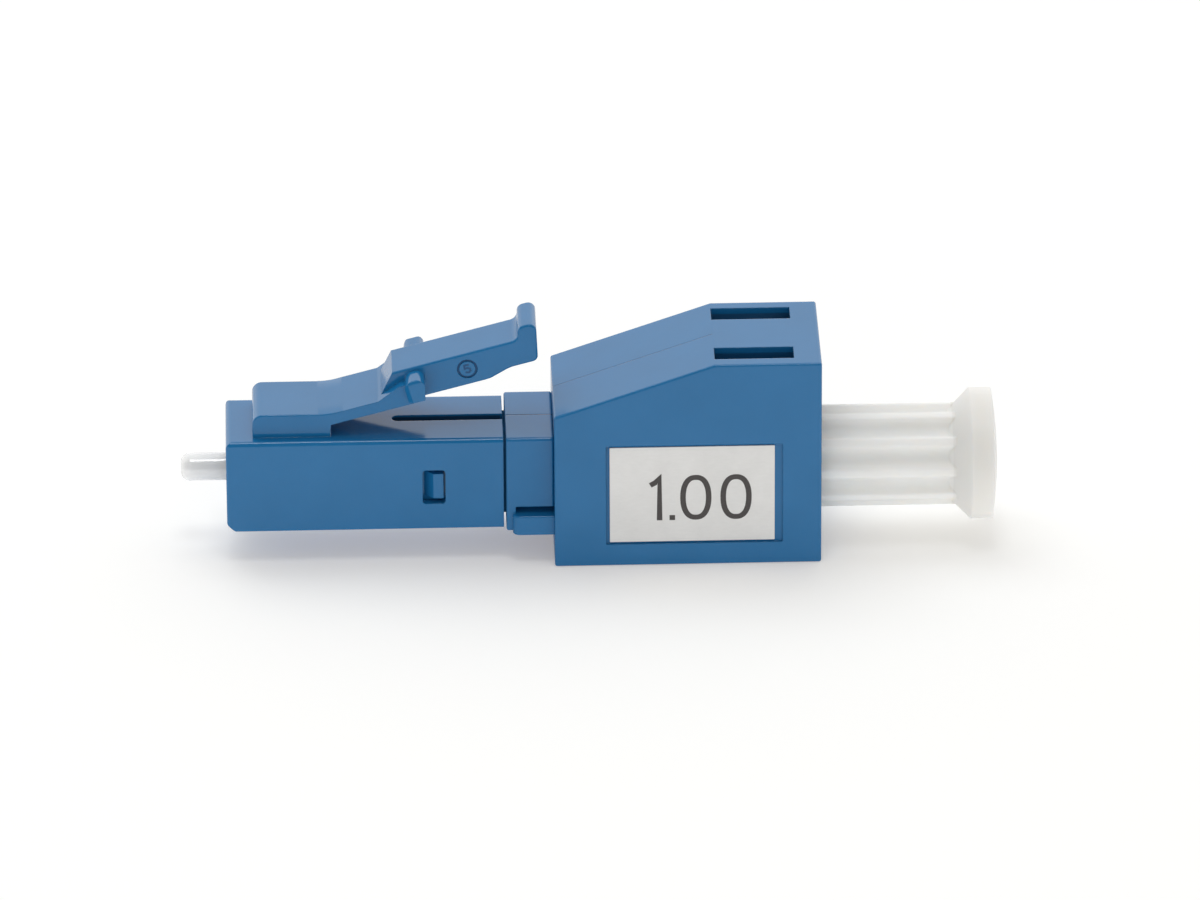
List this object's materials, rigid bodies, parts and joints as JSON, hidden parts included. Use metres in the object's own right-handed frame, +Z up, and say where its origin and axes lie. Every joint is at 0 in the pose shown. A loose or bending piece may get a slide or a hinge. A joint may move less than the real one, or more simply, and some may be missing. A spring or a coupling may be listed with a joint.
{
  "type": "fibre attenuator",
  "caption": "Plug-in fibre attenuator: a latched square plug with a long ceramic ferrule, a port for the next plug behind it, and a fluted dust plug in the port.",
  "frame": {"origin": "on the optical axis, in the plane of the plug's front face", "axes": "+X along the optical axis towards the port, +Z up through the latch"},
  "size_m": [0.0366, 0.0064, 0.0112],
  "materials": {
    "plug_plastic": "fine satin blue moulding",
    "housing_plastic": "fine satin blue moulding",
    "zirconia": "polished, slightly translucent white ceramic",
    "sleeve_ceramic": "ground white ceramic",
    "doped_glass": "polished glass fibre",
    "flange_metal": "turned",
    "spring_steel": "drawn wire",
    "holder_plastic": "natural moulding",
    "stopper_plastic": "soft off-white moulding",
    "label_paper": "matt white film"
  },
  "bodies": {
    "body": {"plug_housing": "plug_plastic", "core_body": "housing_plastic", "rear_housing": "housing_plastic", "split_sleeve": "sleeve_ceramic", "sleeve_holder": "holder_plastic", "spring": "spring_steel", "label": "label_paper"},
    "latch": {"latch_lever": "plug_plastic"},
    "ferrule_set": {"ferrule": "zirconia", "attenuating_fibre": "doped_glass", "ferrule_flange": "flange_metal"},
    "stopper": {"dust_plug": "stopper_plastic"}
  },
  "joints": [
    {"name": "latch_press", "type": "hinge", "parent": "body", "child": "latch", "pos_m": [0.0047, 0, 0.0031], "axis": [0, 1, 0], "range_deg": [0, 14], "stiffness_Nm_per_rad": 0.1},
    {"name": "ferrule_float", "type": "slide", "parent": "body", "child": "ferrule_set", "axis": [1, 0, 0], "range_m": [0, 0.0006], "stiffness_N_per_m": 1500, "deforming": ["spring"]},
    {"name": "dust_plug_pull", "type": "slide", "parent": "body", "child": "stopper", "axis": [1, 0, 0], "range_m": [0, 0.012]}
  ]
}
